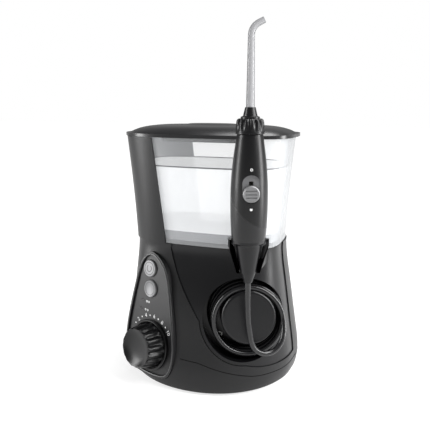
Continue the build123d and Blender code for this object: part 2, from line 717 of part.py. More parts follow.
with BuildPart() as connecting_rod:
    with BuildSketch(Plane.YZ.offset(PUMP_X - 2)):
        with Locations((DRIVE_Y, CRANK_Z)):
            Circle(4.5)
        with Locations((DRIVE_Y, ROD_PIN_Z)):
            Circle(3.4)
        with Locations((DRIVE_Y, (CRANK_Z + ROD_PIN_Z) / 2)):
            Rectangle(4, CRANK_Z - ROD_PIN_Z)
        with Locations((DRIVE_Y, CRANK_Z)):
            Circle(CRANK_PIN, mode=Mode.SUBTRACT)
        with Locations((DRIVE_Y, ROD_PIN_Z)):
            Circle(1.5, mode=Mode.SUBTRACT)
    extrude(amount=4)
keep(connecting_rod, "connecting_rod")

TANK_PORT_FOOT = 96.0
with BuildPart() as tank_port:
    with BuildSketch(Plane.XY.offset(TANK_PORT_FOOT)):
        with Locations(TANK_VALVE):
            Circle(9.4)
    extrude(amount=DECK_Z - WALL - TANK_PORT_FOOT)
    with BuildSketch(Plane.XY.offset(TANK_PORT_FOOT + 2)):
        with Locations(TANK_VALVE):
            Circle(7.5)
    extrude(amount=20, mode=Mode.SUBTRACT)
    with BuildSketch(Plane.XY.offset(TANK_PORT_FOOT - 7)):
        with Locations(TANK_VALVE):
            Circle(2.4)
    extrude(amount=8)
    with BuildSketch(Plane.XY.offset(TANK_PORT_FOOT - 8)):
        with Locations(TANK_VALVE):
            Circle(1.4)
    extrude(amount=10.5, mode=Mode.SUBTRACT)
    with BuildSketch(Plane.XY.offset(TANK_PORT_FOOT + 1.5)):
        with Locations((TANK_VALVE[0] + 2.9, TANK_VALVE[1])):
            Circle(1.0)
    extrude(amount=3.9)
keep(tank_port, "tank_port")

with BuildPart() as power_board:
    with BuildSketch(Plane.XZ.offset(-27)):
        with Locations((38, 34)):
            RectangleRounded(28, 44, 2)
    extrude(amount=1.6)
    with BuildSketch(Plane.XZ.offset(-25.4)):
        with Locations((36, 46)):
            Rectangle(14, 14)
        with Locations((34, 24)):
            Circle(5)
    extrude(amount=9)
keep(power_board, "power_board")

with BuildPart() as power_gland:
    with BuildSketch(Plane.XZ.offset(-30)):
        with Locations(GLAND):
            Circle(4.5)
    extrude(amount=-10)
    with BuildSketch(Plane.XZ.offset(-28.5)):
        with Locations(GLAND):
            Circle(6.4)
    extrude(amount=-2)
    with BuildSketch(Plane.XZ.offset(-20)):
        with Locations(GLAND):
            Circle(2.2)
    extrude(amount=-30, mode=Mode.SUBTRACT)
keep(power_gland, "power_gland")

# Soft tubes slip over their barbs, so each is bored to the barb's size.
TUBE_OUTER, TUBE_BORE = 3.4, 2.45
TUBE_ROUTES = {
    "inlet_tube": ((*TANK_VALVE, TANK_PORT_FOOT - 0.2), (*TANK_VALVE, 80), (32, 9, 58), (36, 11, 36),
                   (39.5, DRIVE_Y, 20), (36.5, DRIVE_Y, 12), (PUMP_X + 10.9, DRIVE_Y, 12)),
    "outlet_tube": ((PUMP_X, DRIVE_Y - 10.2, 12), (PUMP_X, -9.5, 12), (6, -15, 13.5), (-4, -9, 17.5),
                    (-12, -6.8, 20.5), tuple(on_plane(panel_plane, 4, 0, REGULATOR_BACK - 8)),
                    tuple(on_plane(panel_plane, 4, 0, REGULATOR_BACK - 0.2))),
    "delivery_tube": (tuple(on_plane(pocket_plane, *FITTING_PLACE, -POCKET_DEPTH - WALL - 2.7)),
                      tuple(on_plane(pocket_plane, *FITTING_PLACE, -POCKET_DEPTH - WALL - 13.6)),
                      (2, -11.5, 35), (-10, -10, 32), (-19.5, -5.8, 25),
                      tuple(on_plane(panel_plane, -4, 0, REGULATOR_BACK - 8)),
                      tuple(on_plane(panel_plane, -4, 0, REGULATOR_BACK - 0.2))),
}
for tube_name, route in TUBE_ROUTES.items():
    soft_tube, _ = tube_along(route, TUBE_OUTER, TUBE_BORE)
    keep(soft_tube, tube_name)

# ---------------------------------------------------------------- tank
SIDE_OUTSET, SIDE_GAP = 1.6, 0.15
SIDE_EDGE = ((-33.5, 190), (-24, 104))       # front edge of the side cover, as (x, z)


def lofted(levels, inset):
    """A solid through the outlines of a run of levels."""
    with BuildPart() as shape:
        for level in levels:
            with BuildSketch(Plane.XY.offset(level[0])):
                with BuildLine():
                    Spline(*outline(level, inset), periodic=True)
                make_face()
        loft()
    return shape


tank_outer = lofted(TANK_LEVELS, 0.0)
tank_inner = lofted([shifted(level, 2.5 if level[0] == TANK_Z else 0.0) for level in TANK_LEVELS], TANK_WALL)
side_outer = lofted(TANK_LEVELS, -SIDE_OUTSET)
side_inner = lofted(TANK_LEVELS, -SIDE_GAP)
LUG_X, LUG_WIDTH, KNUCKLE_X, KNUCKLE_WIDTH, BARREL_RADIUS, PIN_RADIUS = 18.0, 5.0, 12.2, 6.0, 3.2, 1.5

with BuildPart() as tank:
    add(tank_outer.part)
    add(tank_inner.part, mode=Mode.SUBTRACT)
    with BuildSketch(Plane.XY.offset(TANK_Z - 1)):
        with Locations(TANK_VALVE):
            Circle(6.05)
    extrude(amount=8, mode=Mode.SUBTRACT)
    for side in (-1, 1):
        with BuildSketch(Plane.YZ.offset(side * LUG_X - LUG_WIDTH / 2)):
            with Locations((HINGE_Y, HINGE_Z)):
                Circle(BARREL_RADIUS)
            with BuildLine():
                Polyline((36.6, HINGE_Z - 9), (HINGE_Y + BARREL_RADIUS, HINGE_Z), (36.6, HINGE_Z), close=True)
            make_face()
            with Locations((HINGE_Y, HINGE_Z)):
                Circle(PIN_RADIUS, mode=Mode.SUBTRACT)
        extrude(amount=LUG_WIDTH)
keep(tank, "tank")

with BuildPart() as side_cover:
    add(side_outer.part)
    add(side_inner.part, mode=Mode.SUBTRACT)
    with BuildSketch(Plane.XZ.offset(-60)):
        with BuildLine():
            Polyline(SIDE_EDGE[0], SIDE_EDGE[1], (-80, 104), (-80, 190), close=True)
        make_face()
    extrude(amount=120, mode=Mode.INTERSECT)
keep(side_cover, "side_cover")

VALVE_FOOT, VALVE_CEILING, VALVE_TOP = 99.5, 108.0, 111.2
with BuildPart() as tank_valve_body:
    with BuildSketch(Plane.XY.offset(VALVE_FOOT)):
        with Locations(TANK_VALVE):
            Circle(6.0)
    extrude(amount=VALVE_TOP - VALVE_FOOT)
    with BuildSketch(Plane.XY.offset(TANK_Z + 2.5)):
        with Locations(TANK_VALVE):
            Circle(9)
    extrude(amount=VALVE_TOP - TANK_Z - 2.5)
    with BuildSketch(Plane.XY.offset(VALVE_FOOT)):
        with Locations(TANK_VALVE):
            Circle(4.5)
    extrude(amount=VALVE_CEILING - VALVE_FOOT, mode=Mode.SUBTRACT)
    with BuildSketch(Plane.XY.offset(VALVE_CEILING - 1)):
        with Locations(TANK_VALVE):
            Circle(1.9)
    extrude(amount=8, mode=Mode.SUBTRACT)
keep(tank_valve_body, "tank_valve_body")

with BuildPart() as tank_seal:
    with BuildSketch(Plane.XY.offset(101.8)):
        with Locations(TANK_VALVE):
            Circle(7.2)
            Circle(6.0, mode=Mode.SUBTRACT)
    extrude(amount=1.4)
keep(tank_seal, "tank_seal")

with BuildPart() as valve_plunger:
    for radius, foot, top in ((4.42, 101.7, 103.2), (1.5, 103.2, 112.4), (4.2, 111.4, 113.0)):
        with BuildSketch(Plane.XY.offset(foot)):
            with Locations(TANK_VALVE):
                Circle(radius)
        extrude(amount=top - foot)
keep(valve_plunger, "valve_plunger")

with BuildPart() as valve_spring:
    with BuildLine():
        Helix(pitch=1.2, height=3.6, radius=3.2, center=(*TANK_VALVE, 103.9))
    with BuildSketch(Plane(origin=(TANK_VALVE[0] + 3.2, TANK_VALVE[1], 103.9), z_dir=(0, 1, 0))):
        Circle(0.3)
    sweep(is_frenet=True)
keep(valve_spring, "valve_spring")

# ---------------------------------------------------------------- lid
LID_LEVEL = (LID_Z, 66.2, 0.0, 40.4, 3.0, 38.2, 3.4)
TRAY_X, TRAY_Y, TRAY_WIDTH, TRAY_DEPTH, TRAY_DROP = 1.0, -21.0, 58.0, 26.0, 3.2
lid_hollow = lofted([shifted(level, -2.2) for level in DOME_LEVELS], 2.0)
with BuildPart() as lid:
    with BuildSketch(Plane.XY.offset(LID_Z)):
        with BuildLine():
            Spline(*outline(LID_LEVEL), periodic=True)
        make_face()
    extrude(amount=DOME_LEVELS[0][0] - LID_Z)
    for level in DOME_LEVELS:
        with BuildSketch(Plane.XY.offset(level[0])):
            with BuildLine():
                Spline(*outline(level), periodic=True)
            make_face()
    loft()
    add(lid_hollow.part, mode=Mode.SUBTRACT)
    with BuildSketch(Plane.XY.offset(LID_Z - 1)):
        with Locations((LUG_X, HINGE_Y), (-LUG_X, HINGE_Y)):
            Rectangle(LUG_WIDTH + 0.8, 9.6)
    extrude(amount=10, mode=Mode.SUBTRACT)
    for side in (-1, 1):
        with BuildSketch(Plane.YZ.offset(side * KNUCKLE_X - KNUCKLE_WIDTH / 2)):
            with Locations((HINGE_Y, HINGE_Z)):
                Circle(BARREL_RADIUS)
            with Locations((HINGE_Y - 2.5, LID_Z + 1.1)):
                Rectangle(5, 2.2)
            with Locations((HINGE_Y, HINGE_Z)):
                Circle(PIN_RADIUS + 0.06, mode=Mode.SUBTRACT)
        extrude(amount=KNUCKLE_WIDTH)
keep(lid, "lid")

with BuildPart() as hinge_pins:
    for side in (-1, 1):
        with BuildSketch(Plane.YZ.offset(side * (LUG_X + KNUCKLE_X) / 2 - 5.4)):
            with Locations((HINGE_Y, HINGE_Z)):
                Circle(PIN_RADIUS)
        extrude(amount=10.8)
keep(hinge_pins, "hinge_pins")

with BuildPart() as tip_tray:
    add(lid_hollow.part)
    split(bisect_by=Plane.XY.offset(LID_Z + 1.4), keep=Keep.BOTTOM)
    with BuildSketch(Plane.XY.offset(LID_Z - TRAY_DROP)):
        with Locations((TRAY_X, TRAY_Y)):
            RectangleRounded(TRAY_WIDTH, TRAY_DEPTH, 5)
    extrude(amount=TRAY_DROP)
    with BuildSketch(Plane.XY.offset(LID_Z - TRAY_DROP + 1.2)):
        with Locations((TRAY_X, TRAY_Y)):
            RectangleRounded(TRAY_WIDTH - 3.2, TRAY_DEPTH - 3.2, 4)
    extrude(amount=TRAY_DROP + 2, mode=Mode.SUBTRACT)
    with BuildSketch(Plane.XY.offset(LID_Z - 1)):
        with Locations((LUG_X, HINGE_Y), (-LUG_X, HINGE_Y)):
            Rectangle(LUG_WIDTH + 0.8, 12)
    extrude(amount=10, mode=Mode.SUBTRACT)
keep(tip_tray, "tip_tray")

# ---------------------------------------------------------------- handle
HANDLE_PROFILE = ((11.5, CONE_TOP + 0.3), (11.9, 126), (12.35, 136), (12.5, 150), (12.2, 160), (11.1, 172.5),
                  (8.5, HANDLE_TOP))
HANDLE_WALL = 2.0
GRIP_EDGE = ((-20, 158), (-12.5, 151), (-6.5, 141.5), (0, 135.5), (8, 131), (20, 127))   # (x, z) from the axis
GRIP_AZIMUTH, FACE_AZIMUTH, TIP_AZIMUTH = 16.0, 23.0, 20.0
SWITCH_Z, SWITCH_LOW, SLOT_HEIGHT, SLOT_WIDTH = 156.6, 153.6, 18.4, 11.6
PLATE_DEPTH, PLATE_THICK = 9.2, 1.2
VALVE_BLOCK_FOOT, VALVE_BLOCK_TOP, SOCKET_TOP, SHANK_RADIUS = 141.0, 170.0, 181.0, 3.0
SPOOL_RADIUS, SPOOL_FOOT, SPOOL_TOP = 3.0, 150.0, 159.0

grip_section = tilted_plane((HANDLE_X, HANDLE_Y, 0), GRIP_AZIMUTH, 0)
switch_face = tilted_plane((HANDLE_X, HANDLE_Y, 0), FACE_AZIMUTH, 0)
tip_section = tilted_plane((HANDLE_X, HANDLE_Y, 0), TIP_AZIMUTH, 0)

with BuildPart() as handle_whole:
    with BuildSketch(handle_section):
        with BuildLine():
            Spline(*HANDLE_PROFILE)
            Polyline(HANDLE_PROFILE[-1], (0, HANDLE_TOP), (0, CONE_TOP + 0.3), HANDLE_PROFILE[0])
        make_face()
    revolve(axis=handle_axis)
    with BuildSketch(handle_section):
        with BuildLine():
            Spline(*[(r - HANDLE_WALL, z) for r, z in HANDLE_PROFILE[:-1]], (7.4, HANDLE_TOP - 2.4))
            Polyline((7.4, HANDLE_TOP - 2.4), (0, HANDLE_TOP - 2.4), (0, CONE_TOP + 0.3),
                     (HANDLE_PROFILE[0][0] - HANDLE_WALL, CONE_TOP + 0.3))
        make_face()
    revolve(axis=handle_axis, mode=Mode.SUBTRACT)
    with BuildSketch(Plane.XY.offset(HANDLE_TOP - 5)):
        with Locations((HANDLE_X, HANDLE_Y)):
            Circle(SHANK_RADIUS + 1.0)
    extrude(amount=8, mode=Mode.SUBTRACT)
    with BuildSketch(switch_face.offset(PLATE_DEPTH)):
        with Locations((0, SWITCH_Z)):
            SlotOverall(SLOT_HEIGHT, SLOT_WIDTH, rotation=90)
    extrude(amount=10, mode=Mode.SUBTRACT)
    # ribs that carry the valve block
    with BuildSketch(Plane.XY.offset(VALVE_BLOCK_FOOT + 2)):
        with Locations((HANDLE_X, HANDLE_Y)):
            Circle(11.4)
            Circle(6.5, mode=Mode.SUBTRACT)
    extrude(amount=1.6)
    with BuildSketch(Plane.XY.offset(VALVE_BLOCK_TOP - 3)):
        with Locations((HANDLE_X, HANDLE_Y)):
            Circle(10.6)
            Circle(6.5, mode=Mode.SUBTRACT)
    extrude(amount=1.6)

with BuildPart() as below_grip_edge:
    with BuildSketch(grip_section.offset(-20)):
        with BuildLine():
            Spline(*GRIP_EDGE)
            Polyline(GRIP_EDGE[-1], (20, 110), (-20, 110), GRIP_EDGE[0])
        make_face()
    extrude(amount=40)

with BuildPart() as handle_shell:
    add(handle_whole.part)
    add(below_grip_edge.part, mode=Mode.SUBTRACT)
keep(handle_shell, "handle_shell")

with BuildPart() as handle_grip:
    add(handle_whole.part)
    add(below_grip_edge.part, mode=Mode.INTERSECT)
keep(handle_grip, "handle_grip")

with BuildPart() as hose_cone:
    with BuildSketch(handle_section):
        with BuildLine():
            Polyline((1.3, CONE_FOOT), (2.9, CONE_FOOT), (5.2, 97), (8.9, 117.4), (9.4, 118.3), (11.3, 119.2),
                     (11.3, CONE_TOP + 0.3), (1.3, CONE_TOP + 0.3), close=True)
        make_face()
    revolve(axis=handle_axis)
keep(hose_cone, "hose_cone")

with BuildPart() as handle_tube:
    with BuildSketch(Plane.XY.offset(CONE_TOP + 0.3)):
        with Locations((HANDLE_X, HANDLE_Y)):
            Circle(2.6)
            Circle(1.3, mode=Mode.SUBTRACT)
    extrude(amount=VALVE_BLOCK_FOOT - CONE_TOP - 0.3)
keep(handle_tube, "handle_tube")

with BuildPart() as valve_block:
    with BuildSketch(Plane.XY.offset(VALVE_BLOCK_FOOT)):
        with Locations((HANDLE_X, HANDLE_Y)):
            Circle(6.5)
    extrude(amount=VALVE_BLOCK_TOP - VALVE_BLOCK_FOOT)
    with BuildSketch(Plane.XY.offset(VALVE_BLOCK_TOP)):
        with Locations((HANDLE_X, HANDLE_Y)):
            Circle(5.4)
    extrude(amount=SOCKET_TOP - VALVE_BLOCK_TOP)
    with BuildSketch(Plane.XY.offset(VALVE_BLOCK_FOOT + 4)):
        with Locations((HANDLE_X, HANDLE_Y)):
            Circle(SPOOL_RADIUS + 0.06)
    extrude(amount=VALVE_BLOCK_TOP - VALVE_BLOCK_FOOT - 8, mode=Mode.SUBTRACT)
    with BuildSketch(switch_face):
        with Locations((0, SWITCH_Z)):
            Rectangle(3.0, 11)
    extrude(amount=10, mode=Mode.SUBTRACT)
    with BuildSketch(Plane.XY.offset(VALVE_BLOCK_FOOT - 1)):
        with Locations((HANDLE_X, HANDLE_Y)):
            Circle(1.3)
    extrude(amount=40, mode=Mode.SUBTRACT)
    with BuildSketch(Plane.XY.offset(VALVE_BLOCK_TOP + 2)):
        with Locations((HANDLE_X, HANDLE_Y)):
            Circle(SHANK_RADIUS + 0.06)
    extrude(amount=20, mode=Mode.SUBTRACT)
keep(valve_block, "valve_block")

with BuildPart() as pause_spool:
    with BuildSketch(Plane.XY.offset(SPOOL_FOOT)):
        with Locations((HANDLE_X, HANDLE_Y)):
            Circle(SPOOL_RADIUS)
    extrude(amount=SPOOL_TOP - SPOOL_FOOT)
    with BuildSketch(Plane.XY.offset((SPOOL_FOOT + SPOOL_TOP) / 2 - 1)):
        with Locations((HANDLE_X, HANDLE_Y)):
            Circle(SPOOL_RADIUS)
            Circle(SPOOL_RADIUS - 0.7, mode=Mode.SUBTRACT)
    extrude(amount=2, mode=Mode.SUBTRACT)
keep(pause_spool, "pause_spool")

with BuildPart() as switch_plate:
    with BuildSketch(switch_face.offset(PLATE_DEPTH)):
        with Locations((0, SWITCH_Z)):
            SlotOverall(SLOT_HEIGHT, SLOT_WIDTH, rotation=90)
            Rectangle(2.9, 10, mode=Mode.SUBTRACT)
    extrude(amount=PLATE_THICK)
keep(switch_plate, "switch_plate")

SWITCH_RADIUS, SWITCH_FOOT, SWITCH_FACE = 5.45, 10.7, 13.6
with BuildPart() as slide_switch:
    with BuildSketch(switch_face.offset(SWITCH_FOOT)):
        with Locations((0, SWITCH_LOW)):
            Circle(SWITCH_RADIUS)
    extrude(amount=SWITCH_FACE - SWITCH_FOOT)
    chamfer(slide_switch.edges().sort_by(Axis((HANDLE_X, HANDLE_Y, SWITCH_LOW), switch_face.z_dir))[-1], 0.6)
    with BuildSketch(switch_face.offset(SWITCH_FACE - 0.6)):
        with Locations((0, SWITCH_LOW - 2.2), (0, SWITCH_LOW), (0, SWITCH_LOW + 2.2)):
            Rectangle(7.0, 0.9)
    extrude(amount=2, mode=Mode.SUBTRACT)
    with BuildSketch(switch_face.offset(SPOOL_RADIUS)):
        with Locations((0, SWITCH_LOW)):
            Rectangle(2.2, 3.0)
    extrude(amount=SWITCH_FOOT - SPOOL_RADIUS)
    with BuildSketch(switch_face.offset(SPOOL_RADIUS - 1)):
        with Locations((0, SWITCH_LOW)):
            Rectangle(2.2, 3.0)
    extrude(amount=1)
    add(pause_spool.part, mode=Mode.SUBTRACT)
keep(slide_switch, "slide_switch")

COLLAR_FOOT, COLLAR_TOP, SEAT_TOP, TIP_FOOT, TIP_BEND = 191.3, 200.9, 208.0, 172.6, 252.0
with BuildPart() as tip_collar:
    with BuildSketch(Plane.XY.offset(COLLAR_FOOT)):
        with Locations((HANDLE_X, HANDLE_Y)):
            Circle(9.4)
    with BuildSketch(Plane.XY.offset(COLLAR_TOP)):
        with Locations((HANDLE_X, HANDLE_Y)):
            Circle(8.3)
    loft()
    chamfer(tip_collar.edges().group_by(Axis.Z)[-1], 0.8)
    with BuildSketch(Plane.XY.offset(COLLAR_FOOT + 2.2)):
        with Locations((HANDLE_X, HANDLE_Y)):
            with PolarLocations(9.5, 14):
                Circle(0.9)
    extrude(amount=COLLAR_TOP - COLLAR_FOOT, mode=Mode.SUBTRACT)
    with BuildSketch(Plane.XY.offset(COLLAR_FOOT - 1)):
        with Locations((HANDLE_X, HANDLE_Y)):
            Circle(SHANK_RADIUS)
    extrude(amount=20, mode=Mode.SUBTRACT)
keep(tip_collar, "tip_collar")

with BuildPart() as tip_seat:
    with BuildSketch(handle_section):
        with BuildLine():
            Polyline((SHANK_RADIUS, COLLAR_TOP), (6.2, COLLAR_TOP), (6.2, 202), (4.7, 202.6), (3.4, SEAT_TOP),
                     (SHANK_RADIUS, SEAT_TOP), close=True)
        make_face()
    revolve(axis=handle_axis)
keep(tip_seat, "tip_seat")

with BuildPart() as jet_tip:
    with BuildSketch(tip_section):
        with BuildLine():
            Polyline((0.9, TIP_FOOT), (SHANK_RADIUS, TIP_FOOT), (SHANK_RADIUS, SEAT_TOP), (2.8, SEAT_TOP + 0.4),
                     (2.17, TIP_BEND), (0.9, TIP_BEND), close=True)
        make_face()
    revolve(axis=handle_axis)
    with BuildLine(tip_section) as bend_path:
        FilletPolyline((0, TIP_BEND), (0, TIP_BEND + 5), (8.0, TIP_BEND + 9), radius=5)
    with BuildSketch(Plane(origin=bend_path.wire() @ 0, z_dir=bend_path.wire() % 0)):
        Circle(2.17)
        Circle(0.9, mode=Mode.SUBTRACT)
    sweep()
keep(jet_tip, "jet_tip")

os.makedirs("parts", exist_ok=True)
for part in parts:
    export_step(part, f"parts/{part.label}.step")
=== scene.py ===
import math

import bmesh
import bpy
from mathutils import Matrix, Vector, geometry
from mathutils.bvhtree import BVHTree


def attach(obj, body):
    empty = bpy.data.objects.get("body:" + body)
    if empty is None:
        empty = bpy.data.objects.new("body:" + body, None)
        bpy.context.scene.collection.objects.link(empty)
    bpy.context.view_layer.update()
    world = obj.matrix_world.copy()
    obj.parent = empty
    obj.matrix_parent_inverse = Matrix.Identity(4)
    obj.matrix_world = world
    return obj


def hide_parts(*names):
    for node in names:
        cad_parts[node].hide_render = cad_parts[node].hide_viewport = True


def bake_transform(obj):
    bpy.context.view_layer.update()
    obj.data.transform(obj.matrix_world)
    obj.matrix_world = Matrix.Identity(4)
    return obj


# A countertop water flosser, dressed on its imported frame. Metres, +Z up, front towards -Y.
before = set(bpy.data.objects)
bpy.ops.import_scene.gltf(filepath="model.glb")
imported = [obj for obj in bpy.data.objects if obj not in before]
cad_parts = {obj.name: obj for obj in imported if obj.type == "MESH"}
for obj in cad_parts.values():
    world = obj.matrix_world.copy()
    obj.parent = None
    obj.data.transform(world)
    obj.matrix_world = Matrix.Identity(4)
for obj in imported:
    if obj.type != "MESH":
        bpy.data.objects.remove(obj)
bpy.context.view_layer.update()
MM = 0.001


# ---------------------------------------------------------------- planes and small helpers
def tilted(origin, azimuth, tilt):
    """The matrix of a plane that faces the front, turned by azimuth towards +X and tipped up by tilt."""
    a, t = math.radians(azimuth), math.radians(tilt)
    normal = Vector((math.sin(a) * math.cos(t), -math.cos(a) * math.cos(t), math.sin(t)))
    across = Vector((math.cos(a), math.sin(a), 0))
    up = normal.cross(across)
    m = Matrix((across, up, normal)).transposed().to_4x4()
    m.translation = Vector(origin) * MM
    return m


HANDLE_AXIS = (45.4, -52.0)
POCKET = tilted((40.3, -40.1, 56.0), 23, 9)
PANEL = tilted((-33.5, -47.5, 28.0), -21, 9.5)
FACE = tilted((*HANDLE_AXIS, 0), 23, 0)


def at(plane, x, y, depth=0.0):
    """A point given in millimetres on a plane, in the object's frame, in metres."""
    return plane @ (Vector((x, y, depth)) * MM)


def new_mesh(name, verts, faces, smooth=True):
    """An object made from points in metres and faces."""
    mesh = bpy.data.meshes.new(name)
    mesh.from_pydata([tuple(v) for v in verts], [], faces)
    mesh.update()
    for polygon in mesh.polygons:
        polygon.use_smooth = smooth
    obj = bpy.data.objects.new(name, mesh)
    bpy.context.scene.collection.objects.link(obj)
    return obj


def ring_faces(rings, around):
    """The faces between rings of points, each ring with the same number of points."""
    faces = []
    for k in range(rings - 1):
        for i in range(around):
            a, b = k * around + i, k * around + (i + 1) % around
            faces.append((a, b, b + around, a + around))
    return faces


def surface_tree(*node_names):
    """A search tree over the surfaces of some of the frame's nodes."""
    bm = bmesh.new()
    for name in node_names:
        bm.from_mesh(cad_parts[name].data)
    tree = BVHTree.FromBMesh(bm)
    bm.free()
    return tree


def crisp(obj, angle):
    """Edges sharper than the angle, in degrees, stay sharp and the rest is smooth."""
    obj.data.set_sharp_from_angle(angle=math.radians(angle))


def paint(obj, finish):
    """One finish all over, and the colour slot that it belongs to."""
    obj.data.materials.clear()
    obj.data.materials.append(finish)


# ---------------------------------------------------------------- materials
MOTTLE_SCALE, MOTTLE_DETAIL = 45.0, 3.0
GRAIN_DETAIL, GRAIN_DEPTH = 2.0, 0.0001
ROUGHNESS_SPREAD, LEAST_ROUGHNESS = 0.04, 0.02
COAT_ROUGHNESS = 0.12
EDGE_BLEND = 0.42
WHITE = (1, 1, 1, 1)


def material(name, color, roughness=0.4, metallic=0.0, grain=0.0, grain_size=900.0, mottle=0.12, coat=0.0,
             specular=0.5, transmission=0.0, ior=1.46):
    """A moulded or metal finish: slight mottling in colour and roughness, and a fine grain in the surface."""
    made = bpy.data.materials.new(name)
    made.use_nodes = True
    nodes, links = made.node_tree.nodes, made.node_tree.links
    shader = nodes["Principled BSDF"]
    shader.inputs["Metallic"].default_value = metallic
    shader.inputs["IOR"].default_value = ior
    shader.inputs["Specular IOR Level"].default_value = specular
    shader.inputs["Coat Weight"].default_value = coat
    shader.inputs["Coat Roughness"].default_value = COAT_ROUGHNESS
    shader.inputs["Transmission Weight"].default_value = transmission
    place = nodes.new("ShaderNodeTexCoord")
    cloud = nodes.new("ShaderNodeTexNoise")
    cloud.inputs["Scale"].default_value = MOTTLE_SCALE
    cloud.inputs["Detail"].default_value = MOTTLE_DETAIL
    links.new(place.outputs["Object"], cloud.inputs["Vector"])
    shade = nodes.new("ShaderNodeMixRGB")
    low = [c * (1 - mottle) for c in color]
    high = [min(1.0, c * (1 + mottle)) for c in color]
    shade.inputs["Color1"].default_value = (*low, 1)
    shade.inputs["Color2"].default_value = (*high, 1)
    links.new(cloud.outputs["Fac"], shade.inputs["Fac"])
    links.new(shade.outputs["Color"], shader.inputs["Base Color"])
    rough = nodes.new("ShaderNodeMapRange")
    rough.inputs["To Min"].default_value = max(LEAST_ROUGHNESS, roughness - ROUGHNESS_SPREAD)
    rough.inputs["To Max"].default_value = roughness + ROUGHNESS_SPREAD
    links.new(cloud.outputs["Fac"], rough.inputs["Value"])
    links.new(rough.outputs["Result"], shader.inputs["Roughness"])
    if grain:
        fine = nodes.new("ShaderNodeTexNoise")
        fine.inputs["Scale"].default_value = grain_size
        fine.inputs["Detail"].default_value = GRAIN_DETAIL
        links.new(place.outputs["Object"], fine.inputs["Vector"])
        bump = nodes.new("ShaderNodeBump")
        bump.inputs["Strength"].default_value = grain
        bump.inputs["Distance"].default_value = GRAIN_DEPTH
        links.new(fine.outputs["Fac"], bump.inputs["Height"])
        links.new(bump.outputs["Normal"], shader.inputs["Normal"])
    return made


def clear_material(name, color, face_on, edge_on, painted_edge_shade):
    """A finish with one density and colour where it is met square on, and another at its edges, where the colour
    darkens towards the edge colour as painted shade.
    """
    made = material(name, color, 0.05, mottle=0.02, ior=1.3)
    nodes, links = made.node_tree.nodes, made.node_tree.links
    shader = nodes["Principled BSDF"]
    weight = nodes.new("ShaderNodeLayerWeight")
    weight.inputs["Blend"].default_value = EDGE_BLEND
    dense = nodes.new("ShaderNodeMapRange")
    dense.inputs["To Min"].default_value = face_on
    dense.inputs["To Max"].default_value = edge_on
    links.new(weight.outputs["Facing"], dense.inputs["Value"])
    links.new(dense.outputs["Result"], shader.inputs["Alpha"])
    # painted shade: the colour darkens towards the edges, where the surface turns away from square on
    painted_edge_mix = nodes.new("ShaderNodeMixRGB")
    painted_edge_mix.inputs["Color2"].default_value = (*painted_edge_shade, 1)
    links.new(weight.outputs["Facing"], painted_edge_mix.inputs["Fac"])
    links.new(shader.inputs["Base Color"].links[0].from_socket, painted_edge_mix.inputs["Color1"])
    links.new(painted_edge_mix.outputs["Color"], shader.inputs["Base Color"])
    return made


BASE = material("base_satin", (0.0050, 0.0050, 0.0055), 0.38, grain=0.18, specular=0.40)
COVER = material("cover_gloss", (0.0035, 0.0035, 0.0042), 0.30, grain=0.08, specular=0.38)
PANEL_FINISH = material("panel_satin", (0.0080, 0.0080, 0.0088), 0.42, grain=0.25, specular=0.45)
BEAD = material("bead_gloss", (0.0300, 0.0300, 0.0310), 0.30, grain=0.10, specular=0.75)
LID = material("lid_gloss", (0.0040, 0.0040, 0.0048), 0.24, grain=0.08, specular=0.5)
HANDLE = material("handle_satin", (0.0035, 0.0035, 0.0040), 0.32, grain=0.14, specular=0.36)
GRIP = material("grip_gloss", (0.0035, 0.0035, 0.0040), 0.24, grain=0.08, specular=0.5)
DIAL = material("dial_gloss", (0.0030, 0.0030, 0.0034), 0.30, grain=0.10, specular=0.36)
HOSE = material("hose_vinyl", (0.0060, 0.0060, 0.0068), 0.24, grain=0.10, grain_size=500, specular=0.6)
SILVER = material("silver_satin", (0.20, 0.20, 0.205), 0.42, metallic=0.45, grain=0.10, mottle=0.04)
PLATE = material("plate_silver", (0.15, 0.15, 0.155), 0.42, metallic=0.4, grain=0.10, mottle=0.04)
RUBBER = material("rubber_matt", (0.010, 0.010, 0.010), 0.8, grain=0.6, grain_size=600, specular=0.2)
# painted shadow: a near-black finish for the thread that stands in for the shadow in the seam's gap
SEAM = material("seam_shadow", (0.0010, 0.0010, 0.0010), 0.9, grain=0.2, specular=0.02)
STEEL = material("brushed_steel", (0.55, 0.55, 0.57), 0.32, metallic=1.0, grain=0.4, mottle=0.06)
BRASS = material("machined_brass", (0.70, 0.53, 0.25), 0.3, metallic=1.0, grain=0.2)
NYLON = material("natural_nylon", (0.80, 0.78, 0.70), 0.5, grain=0.3)
WHITE_PLASTIC = material("white_moulding", (0.72, 0.72, 0.70), 0.45, grain=0.3)
BOARD = material("solder_mask", (0.02, 0.16, 0.06), 0.35, grain=0.4, grain_size=300, mottle=0.3)
LENS = material("lamp_lens", (0.001, 0.001, 0.001), 0.2, coat=0.2, grain=0.05)
TUBE = material("silicone_tube", (0.75, 0.77, 0.78), 0.3, transmission=0.4, grain=0.2)
MARK = material("white_print", (0.80, 0.80, 0.80), 0.5, grain=0.2, mottle=0.03, specular=0.2)
# painted shade: the tip's colour darkens to near black at its edges, standing in for the dark reflections along a
# glossy tube
TIP = clear_material("tip_gloss_painted_edge_shade", (0.36, 0.36, 0.37), 1.0, 1.0, (0.01, 0.01, 0.01))
# painted shade: the tank's colour darkens towards its edges; the water is painted near white, standing in for the
# bright light seen through it, and greyer towards its edges as painted shade
CLEAR = clear_material("clear_tank", (0.80, 0.82, 0.84), 0.10, 0.95, (0.05, 0.052, 0.055))
WATER = clear_material("water", (0.94, 0.95, 0.96), 0.66, 0.90, (0.35, 0.36, 0.38))
TANK_FLOOR = clear_material("tank_floor", (0.34, 0.35, 0.37), 0.55, 0.85, (0.12, 0.12, 0.13))
